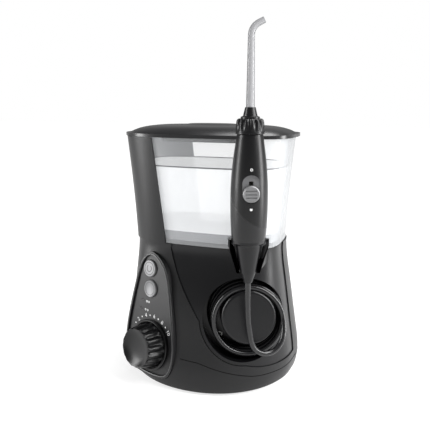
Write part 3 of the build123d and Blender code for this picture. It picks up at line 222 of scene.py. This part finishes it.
# painted shade: a dark line where the water's surface meets the wall
WATER_LINE_SHADE = clear_material("water_line_painted_shade", (0.06, 0.065, 0.07), 0.9, 0.97, (0.02, 0.02, 0.02))
# painted light: the tank and the water are given a little glow, standing in for the light that reaches them from
# behind
for backlit, light in ((WATER, 0.45), (CLEAR, 0.10)):
    backlit_shader = backlit.node_tree.nodes["Principled BSDF"]
    backlit_shader.inputs["Emission Color"].default_value = WHITE
    backlit_shader.inputs["Emission Strength"].default_value = light

FINISHES = {
    BASE: ("base_tray", "housing", "side_cover"),
    COVER: ("front_cover", "handle_cradle", "hose_hub", "hose_cone"),
    PANEL_FINISH: ("control_panel",),
    LID: ("lid", "tip_tray"),
    HANDLE: ("handle_shell", "tip_collar", "tip_seat"),
    GRIP: ("handle_grip",),
    PLATE: ("switch_plate",),
    DIAL: ("pressure_dial", "dial_ring"),
    HOSE: ("hose_coil", "hose_run"),
    SILVER: ("power_button", "mode_button", "slide_switch"),
    TIP: ("jet_tip",),
    RUBBER: ("rubber_foot", "power_gland", "pump_valves", "tank_seal"),
    STEEL: ("base_screws", "motor", "drive_frame", "gear_axle", "piston_pin", "valve_spring", "hinge_pins"),
    BRASS: ("drive_pinion",),
    NYLON: ("drive_gear", "pump_piston", "connecting_rod"),
    WHITE_PLASTIC: (
        "hose_fitting", "panel_switches", "dial_shaft", "regulator_body", "motor_mount", "pump_body", "tank_port",
        "tank_valve_body", "valve_plunger", "handle_tube", "valve_block", "pause_spool"),
    BOARD: ("circuit_board", "power_board"),
    LENS: ("indicator_lenses",),
    TUBE: ("inlet_tube", "outlet_tube", "delivery_tube"),
    CLEAR: ("tank",),
}
for finish, names in FINISHES.items():
    for node_name in names:
        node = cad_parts[node_name]
        node.data.materials.clear()
        node.data.materials.append(finish)

# ---------------------------------------------------------------- camera, light and floor
CAMERA_PLACE, CAMERA_RIGHT, CAMERA_DOWN, CAMERA_LENS = (139.2, -375.9, 212.0), 20, 12.5, 43.12
camera = bpy.data.objects.new("camera", bpy.data.cameras.new("camera"))
camera.data.sensor_width = 36
camera.data.lens = CAMERA_LENS
camera.data.clip_start = 0.01
camera.location = Vector(CAMERA_PLACE) * MM
camera.rotation_euler = (math.radians(90 - CAMERA_DOWN), 0, math.radians(CAMERA_RIGHT))
bpy.context.scene.collection.objects.link(camera)
bpy.context.scene.camera = camera


def softbox(name, place, target, width, height, power):
    """A rectangular lamp that looks at a point. Places and sizes are in metres, the power is in watts."""
    light = bpy.data.objects.new(name, bpy.data.lights.new(name, "AREA"))
    light.data.shape = "RECTANGLE"
    light.data.size, light.data.size_y = width, height
    light.data.energy = power
    light.location = place
    light.rotation_euler = (Vector(target) - Vector(place)).to_track_quat("-Z", "Y").to_euler()
    bpy.context.scene.collection.objects.link(light)


softbox("key", (0.85, -0.15, 0.85), (0, 0, 0.12), 0.4, 0.8, 12)
softbox("left_strip", (-0.8, -0.40, 0.3), (0, 0, 0.12), 0.22, 0.9, 9)
softbox("top", (0.15, 0.25, 1.0), (0, 0, 0.1), 0.7, 0.7, 9)
softbox("right_strip", (0.75, 0.1, 0.25), (0, 0, 0.1), 0.2, 0.7, 7)

# the room is white to the camera and only lights the object with a share of that
ROOM_LIGHT = 0.30
world = bpy.data.worlds.new("studio")
world.use_nodes = True
room_nodes, room_links = world.node_tree.nodes, world.node_tree.links
room_nodes["Background"].inputs["Color"].default_value = WHITE
sight = room_nodes.new("ShaderNodeLightPath")
level = room_nodes.new("ShaderNodeMapRange")
level.inputs["To Min"].default_value = ROOM_LIGHT
level.inputs["To Max"].default_value = 1.0
room_links.new(sight.outputs["Is Camera Ray"], level.inputs["Value"])
room_links.new(level.outputs["Result"], room_nodes["Background"].inputs["Strength"])
bpy.context.scene.world = world
bpy.context.scene.view_settings.view_transform = "Standard"

# the paper glows a little more away from the object, where the lights don't reach
GLOW_NEAR, GLOW_FAR = (0.15, 0.70), (1.1, 0.93)
floor = new_mesh("floor", [(-4, -4, 0), (4, -4, 0), (4, 4, 0), (-4, 4, 0)], [(0, 1, 2, 3)])
PAPER = material("paper", (0.36, 0.36, 0.36), 0.8, mottle=0.01, specular=0.1)
paper_nodes, paper_links = PAPER.node_tree.nodes, PAPER.node_tree.links
paper_nodes["Principled BSDF"].inputs["Emission Color"].default_value = WHITE
distance = paper_nodes.new("ShaderNodeVectorMath")
distance.operation = "LENGTH"
glow = paper_nodes.new("ShaderNodeMapRange")
for end, (away, strength) in (("Min", GLOW_NEAR), ("Max", GLOW_FAR)):
    glow.inputs["From " + end].default_value = away
    glow.inputs["To " + end].default_value = strength
paper_links.new(paper_nodes["Texture Coordinate"].outputs["Object"], distance.inputs[0])
paper_links.new(distance.outputs["Value"], glow.inputs["Value"])
paper_links.new(glow.outputs["Result"], paper_nodes["Principled BSDF"].inputs["Emission Strength"])
paint(floor, PAPER)

# ---------------------------------------------------------------- hose
HOSE_DIAMETER = 4.0
COIL_CENTRE, COIL_RADIUS, COIL_FRONT, COIL_BACK = (3.1, -1.0), 25.3, -2.6, -17.9
FITTING_ANGLE, POINTS_PER_TURN, WHOLE_TURNS = 215, 16, 3
# how the first turn, in front, and the last one, at the back, differ from a plain coil
FRONT_WIDER, FRONT_LOWER = 0.45, 1.2
BACK_WIDER, BACK_LEFT, BACK_HIGHER = 1.6, 2.0, 3.0
# the free part, from the handle's cone down into the pocket
ROUTE = [Vector((*HANDLE_AXIS, 90.0)) * MM, Vector((*HANDLE_AXIS, 77.5)) * MM,
         Vector((46.0, -52.3, 62.0)) * MM]
ROUTE += [at(POCKET, *place) for place in (
    (2.0, -6.0, 12.0), (3.0, -13.5, 10.8), (6.6, -19.8, 9.2), (12.6, -22.9, 7.4), (19.6, -22.4, 5.4),
    (25.4, -17.4, 3.2), (28.6, -9.8, 0.6))]


def coil_points():
    """Turns round the hub, from the front of the coil to its back end, a few millimetres beside the fitting."""
    last = WHOLE_TURNS * 360 + FITTING_ANGLE
    steps = round(last / 360 * POINTS_PER_TURN)
    points = []
    for i in range(steps + 1):
        share = i / steps
        angle = math.radians(last * share)
        loose = 1 - share
        radius = COIL_RADIUS + FRONT_WIDER * loose + BACK_WIDER * share
        x = COIL_CENTRE[0] - BACK_LEFT * share + radius * math.cos(angle)
        y = COIL_CENTRE[1] - FRONT_LOWER * loose + BACK_HIGHER * share + radius * math.sin(angle)
        points.append(at(POCKET, x, y, COIL_FRONT + (COIL_BACK - COIL_FRONT) * share))
    return points


def spline_object(name, points, radius):
    """A smooth line that follows the points, as a round tube of a radius in millimetres; 0 leaves it bare."""
    curve = bpy.data.curves.new(name, "CURVE")
    curve.dimensions = "3D"
    curve.bevel_depth = radius * MM
    curve.bevel_resolution = 5
    curve.use_fill_caps = radius > 0
    curve.resolution_u = 8
    line = curve.splines.new("NURBS")
    line.points.add(len(points) - 1)
    for point, place in zip(line.points, points):
        point.co = (*place, 1)
    line.order_u = 3
    line.use_endpoint_u = True
    obj = bpy.data.objects.new(name, curve)
    bpy.context.scene.collection.objects.link(obj)
    return obj


def mesh_of(obj, name):
    """A curve made into a mesh of the same shape."""
    bpy.context.view_layer.update()
    mesh = bpy.data.meshes.new_from_object(obj.evaluated_get(bpy.context.evaluated_depsgraph_get()))
    made = bpy.data.objects.new(name, mesh)
    bpy.context.scene.collection.objects.link(made)
    return made


def closed_bead(name, points, radius):
    """A thin round bead along a closed line."""
    line = spline_object(name + "_line", points, radius)
    line.data.splines[0].use_cyclic_u = True
    bead = mesh_of(line, name)
    bpy.data.objects.remove(line)
    return bead


def hose_piece(name, points):
    """A round tube along the points, with the line it follows and that line's length."""
    line = spline_object(name + "_line", points, 0)
    bare = mesh_of(line, name + "_path")
    path = [v.co.copy() for v in bare.data.vertices]
    line.data.bevel_depth = HOSE_DIAMETER / 2 * MM
    line.data.use_fill_caps = True
    tube = mesh_of(line, name)
    for scratch in (bare, line):
        bpy.data.objects.remove(scratch)
    for polygon in tube.data.polygons:
        polygon.use_smooth = True
    paint(tube, HOSE)
    return tube, path, sum((b - a).length for a, b in zip(path, path[1:]))


def make_hose():
    """The free part follows the handle; the turns in the pocket stay where they are."""
    turns = coil_points()
    free, path, length = hose_piece("hose_free", ROUTE + turns[:1])
    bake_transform(free)
    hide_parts("hose_run")
    wound, path, length = hose_piece("hose_turns", ROUTE[-1:] + turns)
    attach(wound, "base")
    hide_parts("hose_coil")


make_hose()


# ---------------------------------------------------------------- fluted knob and collar
STEPS_PER_FLUTE, FLUTE_SHARPNESS = 12, 1.4


def fluted(name, plane, profile, count):
    """A turned body with flutes: the profile is (radius, height, flute depth) in millimetres, foot to face."""
    steps, rings = count * STEPS_PER_FLUTE, len(profile)
    verts = []
    for radius, height, depth in profile:
        for i in range(steps):
            angle = 2 * math.pi * i / steps
            r = radius - depth * (0.5 + 0.5 * math.cos(count * angle)) ** FLUTE_SHARPNESS
            verts.append(at(plane, r * math.cos(angle), r * math.sin(angle), height))
    faces = ring_faces(rings, steps)
    faces.append(tuple((rings - 1) * steps + i for i in range(steps)))
    faces.append(tuple(reversed(range(steps))))
    body = new_mesh(name, verts, faces)
    crisp(body, 32)
    return body


KNOB_FLUTES, COLLAR_FLUTES = 16, 14
KNOB_PROFILE = (
    (17.2, 0.6, 0), (17.1, 1.5, 0), (16.9, 2.2, 0.7), (16.6, 4.4, 1.3), (16.3, 7.0, 1.5), (15.9, 10.0, 1.7),
    (15.5, 12.6, 1.8), (15.2, 14.2, 1.5), (14.9, 15.0, 0.9), (14.5, 15.4, 0.3), (14.2, 15.4, 0),
    (13.6, 15.1, 0), (12.6, 14.5, 0), (10.5, 13.7, 0), (7.5, 13.1, 0), (4.0, 12.8, 0), (0.6, 12.7, 0))
# the collar's profile: share of its radius, share of its height, flute depth in millimetres
COLLAR_PROFILE = (
    (1.0, 0.0, 0), (1.0, 0.10, 0), (0.985, 0.16, 0), (0.985, 0.24, 0.15), (0.985, 0.42, 0.5), (0.97, 0.62, 0.9),
    (0.95, 0.80, 1.25), (0.92, 0.90, 1.2), (0.86, 0.97, 0.7), (0.78, 1.0, 0.1), (0.45, 1.0, 0))
knob = fluted("knob", PANEL, KNOB_PROFILE, KNOB_FLUTES)
paint(knob, DIAL)
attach(knob, "dial")
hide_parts("pressure_dial")


def make_collar():
    """The ring that turns the tip: pointed flutes cut in from its top edge."""
    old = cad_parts["tip_collar"].data
    heights = [v.co.z / MM for v in old.vertices]
    wide = max(math.hypot(v.co.x / MM - HANDLE_AXIS[0], v.co.y / MM - HANDLE_AXIS[1]) for v in old.vertices)
    foot, top = min(heights), max(heights)
    tall = top - foot
    axis = Matrix.Translation(Vector((*HANDLE_AXIS, 0)) * MM)
    profile = [(wide * r, foot + tall * h, d) for r, h, d in COLLAR_PROFILE]
    collar = fluted("collar", axis, profile, COLLAR_FLUTES)
    paint(collar, HANDLE)
    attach(collar, "tip")
    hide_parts("tip_collar")


make_collar()


# ---------------------------------------------------------------- jet tip
# points of the tip in its own upright plane: across, height and radius, all in millimetres
TIP_PLANE = tilted((*HANDLE_AXIS, 0), 20, 0)
TIP_SHANK = ((0, 173.0, 3.0), (0, 207.0, 3.0), (0, 208.4, 2.8), (0, 220, 2.62), (0, 235, 2.4), (0, 249, 2.2))
TIP_CORNER, TIP_LEAN, TIP_END = Vector((0, 257.0)), Vector((8.0, 4.0)).normalized(), (8.0, 261.0, 2.0)
BEND_REACH, BEND_STEPS, BEND_RADIUS, BEND_TAPER = 5.5, 8, 2.17, 0.1
TIP_BORE = ((0.9, 0.0), (0.85, 4.0))
TIP_AROUND = 32


def tip_rings():
    """Rings along the tip and back into its bore, each with its place, direction and radius."""
    start, corner, end = TIP_CORNER - Vector((0, BEND_REACH)), TIP_CORNER, TIP_CORNER + TIP_LEAN * BEND_REACH
    path = list(TIP_SHANK)
    for step in range(BEND_STEPS + 1):
        t = step / BEND_STEPS
        place = start * (1 - t) ** 2 + corner * 2 * t * (1 - t) + end * t ** 2
        path.append((place.x, place.y, BEND_RADIUS - BEND_TAPER * t))
    path.append(TIP_END)
    rings = []
    for k, (x, z, radius) in enumerate(path):
        before, after = path[max(k - 1, 0)], path[min(k + 1, len(path) - 1)]
        along = Vector((after[0] - before[0], after[1] - before[1])).normalized()
        rings.append((x, z, along, radius))
    for radius, back in TIP_BORE:
        rings.append((TIP_END[0] - TIP_LEAN.x * back, TIP_END[1] - TIP_LEAN.y * back, TIP_LEAN, radius))
    return rings


def make_tip():
    """The jet tip: a tapering tube that bends at its end, with its bore open."""
    rings, verts = tip_rings(), []
    for x, z, along, radius in rings:
        for i in range(TIP_AROUND):
            angle = 2 * math.pi * i / TIP_AROUND
            side, lift = radius * math.cos(angle), radius * math.sin(angle)
            verts.append(at(TIP_PLANE, x - along.y * side, z + along.x * side, lift))
    faces = ring_faces(len(rings), TIP_AROUND)
    faces.append(tuple((len(rings) - 1) * TIP_AROUND + i for i in range(TIP_AROUND)))
    faces.append(tuple(range(TIP_AROUND)))
    tip = new_mesh("tip", verts, faces)
    bm = bmesh.new()
    bm.from_mesh(tip.data)
    bmesh.ops.recalc_face_normals(bm, faces=bm.faces)
    bm.to_mesh(tip.data)
    bm.free()
    crisp(tip, 40)
    paint(tip, TIP)
    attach(tip, "tip")
    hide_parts("jet_tip")


make_tip()


# ---------------------------------------------------------------- slender cradle
# how far the arms reach in front of the handle's axis, in millimetres
ARM_FRONT = 1.6


def make_cradle():
    """The cradle with its two arms cut back to slender strips beside the cone."""
    bm = bmesh.new()
    bm.from_mesh(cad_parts["handle_cradle"].data)
    normal = (FACE.to_3x3() @ Vector((0, 0, 1))).normalized()
    cut = bmesh.ops.bisect_plane(bm, geom=bm.verts[:] + bm.edges[:] + bm.faces[:], dist=1e-6,
                                 plane_co=at(FACE, 0, 0, ARM_FRONT), plane_no=normal, clear_outer=True)
    edges = [e for e in cut["geom_cut"] if isinstance(e, bmesh.types.BMEdge)]
    bmesh.ops.holes_fill(bm, edges=edges, sides=0)
    mesh = bpy.data.meshes.new("cradle")
    bm.to_mesh(mesh)
    bm.free()
    cradle = bpy.data.objects.new("cradle", mesh)
    bpy.context.scene.collection.objects.link(cradle)
    for polygon in mesh.polygons:
        polygon.use_smooth = True
    crisp(cradle, 30)
    paint(cradle, COVER)
    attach(cradle, "base")
    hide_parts("handle_cradle")


make_cradle()


# ---------------------------------------------------------------- panel bead
BEAD_INSET, BEAD_RADIUS, BEAD_POINTS = 1.6, 0.62, 72
# heights above the panel and reaches beyond its outline that are surely outside it, in millimetres
ABOVE_PANEL, BEYOND_PANEL = 20, 200


def make_panel_bead():
    """The raised rim that runs round the arch of the control panel."""
    away = PANEL.inverted()
    flat = [((away @ v.co) / MM).to_2d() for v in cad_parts["control_panel"].data.vertices]
    corners = [flat[i] for i in geometry.convex_hull_2d(flat)]
    tree = surface_tree("control_panel")
    inward = -(PANEL.to_3x3() @ Vector((0, 0, 1)))
    middle = sum(corners, Vector((0, 0))) / len(corners)
    places = []
    for i in range(BEAD_POINTS):
        angle = 2 * math.pi * i / BEAD_POINTS
        out = Vector((math.cos(angle), math.sin(angle)))
        reach = 0.0
        for a, b in zip(corners, corners[1:] + corners[:1]):
            crossing = geometry.intersect_line_line_2d(middle, middle + out * BEYOND_PANEL, a, b)
            if crossing:
                reach = max(reach, (crossing - middle).length)
        place = middle + out * (reach - BEAD_INSET)
        hit = tree.ray_cast(at(PANEL, place.x, place.y, ABOVE_PANEL), inward)[0]
        if hit is not None:
            places.append(hit.copy())
    bead = closed_bead("panel_bead", places, BEAD_RADIUS)
    for polygon in bead.data.polygons:
        polygon.use_smooth = True
    paint(bead, BEAD)
    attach(bead, "base")


make_panel_bead()


# ---------------------------------------------------------------- seams
# the line between the tray and the shell above it: x and height, in millimetres
SEAM_LINE = ((-90, 26), (-12, 26), (10, 24.5), (24, 20.4), (49, 14), (66, 12.5), (90, 12.5))
SEAM_RADIUS, SEAM_POINTS, SEAM_TRIES = 0.22, 120, 4
# the first guess of x, in millimetres, and a distance that is surely outside the base, in metres
FIRST_X, BEYOND_BASE = 60, 0.2


def seam_height(x):
    """Height of the seam at an x in millimetres."""
    for (x0, z0), (x1, z1) in zip(SEAM_LINE, SEAM_LINE[1:]):
        if x <= x1:
            t = (x - x0) / (x1 - x0)
            return z0 + (z1 - z0) * t
    return SEAM_LINE[-1][1]


def make_tray_seam():
    """The parting line between tray and housing, as a thin dark thread of painted shadow sunk in the surface
    round the base.
    """
    tree = surface_tree("base_tray", "housing")
    places = []
    for i in range(SEAM_POINTS):
        angle = 2 * math.pi * i / SEAM_POINTS
        out = Vector((math.cos(angle), math.sin(angle), 0))
        x = FIRST_X * out.x
        # the height depends on x and x on where the ray meets the shell, so it takes a few tries
        for _ in range(SEAM_TRIES):
            start = Vector((0, 0, seam_height(x))) * MM + out * BEYOND_BASE
            hit = tree.ray_cast(start, -out)[0]
            if hit is None:
                break
            x = hit.x / MM
        if hit is not None:
            places.append(hit.copy())
    seam = closed_bead("tray_seam", places, SEAM_RADIUS)
    paint(seam, SEAM)
    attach(seam, "base")


make_tray_seam()


# ---------------------------------------------------------------- water
# outside of the tank at some heights: height, half width and half depth in front, in millimetres
TANK_SIZES = ((107.0, 57.2, 35.0), (130.0, 58.3, 35.7), (158.0, 60.4, 36.9), (186.0, 63.0, 38.3))
TANK_BACK, BACK_POWER, FRONT_POWER = 37.5, 3.6, 3.2
# the wall and a small gap, between the outside of the tank and the water
WATER_INSET = 2.35
WATER_FOOT, WATER_LEVEL, FLOOR_BAND = 109.7, 165.0, 7.5
WATER_STEPS, WATER_AROUND = 24, 96
EDGE_RADIUS, EDGE_LIFT = 0.5, 0.1


def water_reach(z):
    """Half width and half depth in front of the water at a height."""
    for (z0, w0, d0), (z1, w1, d1) in zip(TANK_SIZES, TANK_SIZES[1:]):
        if z <= z1:
            t = (z - z0) / (z1 - z0)
            return w0 + (w1 - w0) * t - WATER_INSET, d0 + (d1 - d0) * t - WATER_INSET
    return TANK_SIZES[-1][1] - WATER_INSET, TANK_SIZES[-1][2] - WATER_INSET


def make_water():
    """Water just inside the tank's walls, darker near its floor, and a thin dark line of painted shade round its
    surface.
    """
    verts = []
    for k in range(WATER_STEPS + 1):
        z = WATER_FOOT + (WATER_LEVEL - WATER_FOOT) * k / WATER_STEPS
        half, front = water_reach(z)
        for i in range(WATER_AROUND):
            a = 2 * math.pi * i / WATER_AROUND
            c, s = math.cos(a), math.sin(a)
            power, depth = (BACK_POWER, TANK_BACK - WATER_INSET) if s > 0 else (FRONT_POWER, front)
            x = half * math.copysign(abs(c) ** (2 / power), c)
            y = depth * math.copysign(abs(s) ** (2 / power), s)
            verts.append(Vector((x, y, z)) * MM)
    faces = ring_faces(WATER_STEPS + 1, WATER_AROUND)
    faces.append(tuple(reversed(range(WATER_AROUND))))
    faces.append(tuple(range(WATER_STEPS * WATER_AROUND, (WATER_STEPS + 1) * WATER_AROUND)))
    water = new_mesh("water", verts, faces)
    crisp(water, 50)
    paint(water, WATER)
    water.data.materials.append(TANK_FLOOR)
    for polygon in water.data.polygons:
        if max(water.data.vertices[i].co.z for i in polygon.vertices) / MM < WATER_FOOT + FLOOR_BAND:
            polygon.material_index = 1
    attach(water, "tank_body")
    # painted shade: a thin dark bead round the water's surface
    top = [v.co + Vector((0, 0, EDGE_LIFT)) * MM for v in water.data.vertices[-WATER_AROUND:]]
    edge = closed_bead("water_edge", top, EDGE_RADIUS)
    paint(edge, WATER_LINE_SHADE)
    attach(edge, "tank_body")


make_water()


# ---------------------------------------------------------------- printed marks
PRINT_THICKNESS, TEXT_EXTRUDE, DISC_STEPS = 0.05, 0.04, 40
# a disc starts this far from its centre, so that it has no face without area
LEAST_RADIUS = 0.001


def text_mark(name, text, plane, x, y, depth, size, body, turn=0.0):
    """A short printed mark that lies on a plane."""
    words = bpy.data.curves.new(name, "FONT")
    words.body = text
    words.size = size * MM
    words.align_x = "CENTER"
    words.align_y = "CENTER"
    words.extrude = TEXT_EXTRUDE * MM
    words.resolution_u = 4
    obj = bpy.data.objects.new(name, words)
    bpy.context.scene.collection.objects.link(obj)
    obj.matrix_world = plane @ Matrix.Translation(Vector((x, y, depth)) * MM) @ Matrix.Rotation(turn, 4, "Z")
    bpy.context.view_layer.update()
    made = mesh_of(obj, name + "_mesh")
    made.data.transform(obj.matrix_world)
    bpy.data.objects.remove(obj)
    made.name = name
    paint(made, MARK)
    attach(made, body)


def disc_mark(name, plane, x, y, depth, radius, body, inner=0.0, sweep=360.0, start=0.0):
    """A printed dot, ring or part of a ring."""
    verts, faces = [], []
    for i in range(DISC_STEPS + 1):
        a = math.radians(start + sweep * i / DISC_STEPS)
        for r in (max(inner, LEAST_RADIUS), radius):
            for h in (0.0, PRINT_THICKNESS):
                verts.append(at(plane, x + r * math.cos(a), y + r * math.sin(a), depth + h))
    for i in range(DISC_STEPS):
        n = 4 * i
        faces += [(n + 1, n + 3, n + 7, n + 5), (n, n + 4, n + 6, n + 2), (n + 2, n + 6, n + 7, n + 3),
                  (n, n + 1, n + 5, n + 4)]
    obj = new_mesh(name, verts, faces, smooth=False)
    paint(obj, MARK)
    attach(obj, body)
    return obj


# the knob's scale: even steps are numbers, odd steps are dots
SCALE_RADIUS, SCALE_FIRST, SCALE_STEP, SCALE_MARKS = 22.4, -57, 12, 10
for index in range(SCALE_MARKS):
    angle = math.radians(SCALE_FIRST + SCALE_STEP * index)
    mark_x, mark_y = SCALE_RADIUS * math.sin(angle), SCALE_RADIUS * math.cos(angle)
    if index % 2:
        text_mark(f"scale_{index + 1}", str(index + 1), PANEL, mark_x, mark_y, 0.03, 4.3, "base", -angle)
    else:
        disc_mark(f"scale_{index + 1}", PANEL, mark_x, mark_y, 0.02, 0.6, "base")

# the rings on the two buttons and the open ring of the power sign
POWER_PLACE, MODE_PLACE = (-7.8, 58.4, 1.82), (-5.2, 43.0, 1.82)
paint(disc_mark("power_ring", PANEL, *POWER_PLACE, 5.1, "power_key", inner=4.6), COVER)
paint(disc_mark("power_arc", PANEL, *POWER_PLACE, 2.7, "power_key", inner=2.15, sweep=290, start=125), COVER)
paint(disc_mark("mode_ring", PANEL, *MODE_PLACE, 5.0, "mode_key", inner=4.75), COVER)

# two small rings to the right of each lamp
LAMP_PLACES, RING_AWAY, RING_STEP = ((-13.6, 32.0), (-14.2, 25.4)), 5.0, 2.4
for lamp, (lamp_x, lamp_y) in enumerate(LAMP_PLACES):
    for ring in range(2):
        ring_x = lamp_x + RING_AWAY + RING_STEP * ring
        disc_mark(f"lamp_mark_{lamp}_{ring}", PANEL, ring_x, lamp_y, 0.02, 0.85, "base", inner=0.45)

# a ring above the handle's switch and a dot below it
SWITCH_TOP, SWITCH_FOOT = (0, 169.2, 11.55), (0, 143.6, 12.45)
disc_mark("switch_mark_top", FACE, *SWITCH_TOP, 0.9, "handle", inner=0.5)
disc_mark("switch_mark_foot", FACE, *SWITCH_FOOT, 0.9, "handle")
